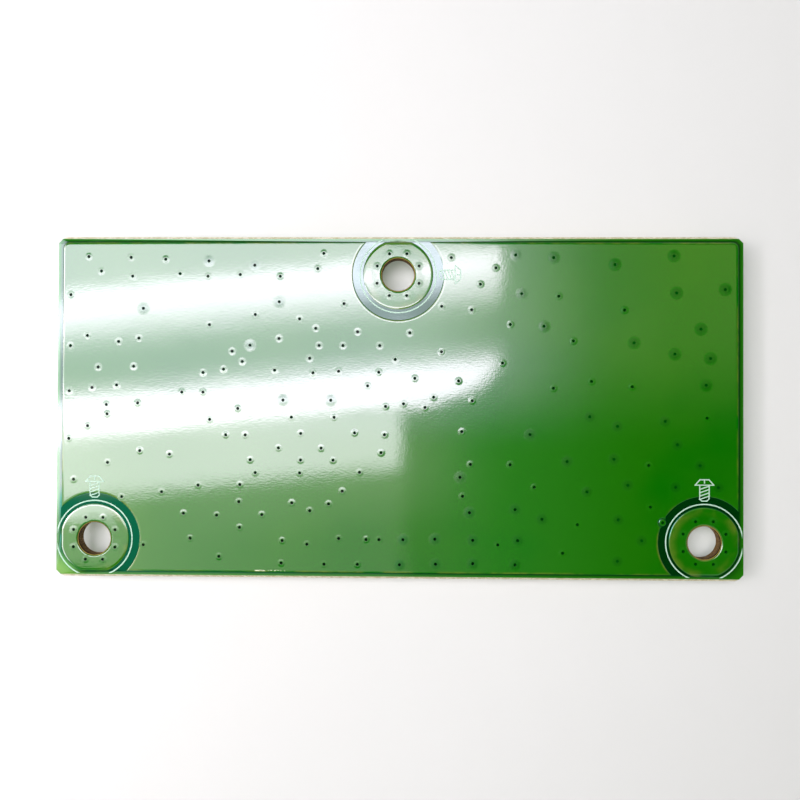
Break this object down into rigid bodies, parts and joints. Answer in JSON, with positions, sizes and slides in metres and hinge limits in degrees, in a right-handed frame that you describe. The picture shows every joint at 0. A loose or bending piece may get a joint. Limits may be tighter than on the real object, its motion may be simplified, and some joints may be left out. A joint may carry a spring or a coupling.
{
  "type": "t-con board",
  "caption": "Flat rectangular timing controller board for a display panel, green lacquered, with screw holes in ringed pads, many small vias, and cable sockets and chips on its underside.",
  "frame": {"origin": "under the middle of the board, on the plane that the sockets of the component side rest on", "axes": "+X along the long edges, +Y towards the long edge with the single screw hole, +Z out of the ground side with the printed rings"},
  "size_m": [0.08, 0.04, 0.0039],
  "materials": {
    "laminate": "bare glass and resin laminate, cream to tan",
    "copper": "bare copper under the mask",
    "solder_mask": "glossy green lacquer",
    "ink": "white print",
    "tin": "tinned metal",
    "socket_plastic": "cream moulded plastic",
    "contact_gold": "plated contact strip",
    "shell_steel": "tinned steel sheet",
    "chip_resin": "black moulding resin",
    "inductor_composite": "dark grey pressed composite",
    "capacitor_ceramic": "brown ceramic",
    "resistor_coat": "black glaze over white ceramic",
    "fuse_ceramic": "white ceramic"
  },
  "bodies": {
    "root": {"laminate": "laminate", "ground_copper": "copper", "screw_pads": "copper", "via_lands": "copper", "ground_side_mask": "solder_mask", "via_rims": "solder_mask", "printed_rings": "ink", "component_side_mask": "solder_mask", "solder_pads": "tin", "input_socket_housing": "socket_plastic", "input_socket_shell": "shell_steel", "input_socket_contacts": "contact_gold", "output_socket_1_housing": "socket_plastic", "output_socket_1_contacts": "contact_gold", "output_socket_1_tabs": "tin", "output_socket_2_housing": "socket_plastic", "output_socket_2_contacts": "contact_gold", "output_socket_2_tabs": "tin", "timing_chip_body": "chip_resin", "timing_chip_leads": "tin", "power_chip_body": "chip_resin", "power_chip_leads": "tin", "level_shifter_body": "chip_resin", "level_shifter_leads": "tin", "gamma_chip_body": "chip_resin", "gamma_chip_leads": "tin", "memory_chip_body": "chip_resin", "memory_chip_leads": "tin", "inductor_1_body": "inductor_composite", "inductor_1_terminals": "tin", "inductor_2_body": "inductor_composite", "inductor_2_terminals": "tin", "inductor_3_body": "inductor_composite", "inductor_3_terminals": "tin", "diode_1_body": "chip_resin", "diode_1_terminals": "tin", "diode_2_body": "chip_resin", "diode_2_terminals": "tin", "fuse_body": "fuse_ceramic", "fuse_ends": "tin", "bulk_capacitor_bodies": "capacitor_ceramic", "bulk_capacitor_ends": "tin", "small_capacitor_bodies": "capacitor_ceramic", "small_capacitor_ends": "tin", "resistor_bodies": "resistor_coat", "resistor_ends": "tin"}
  },
  "joints": []
}
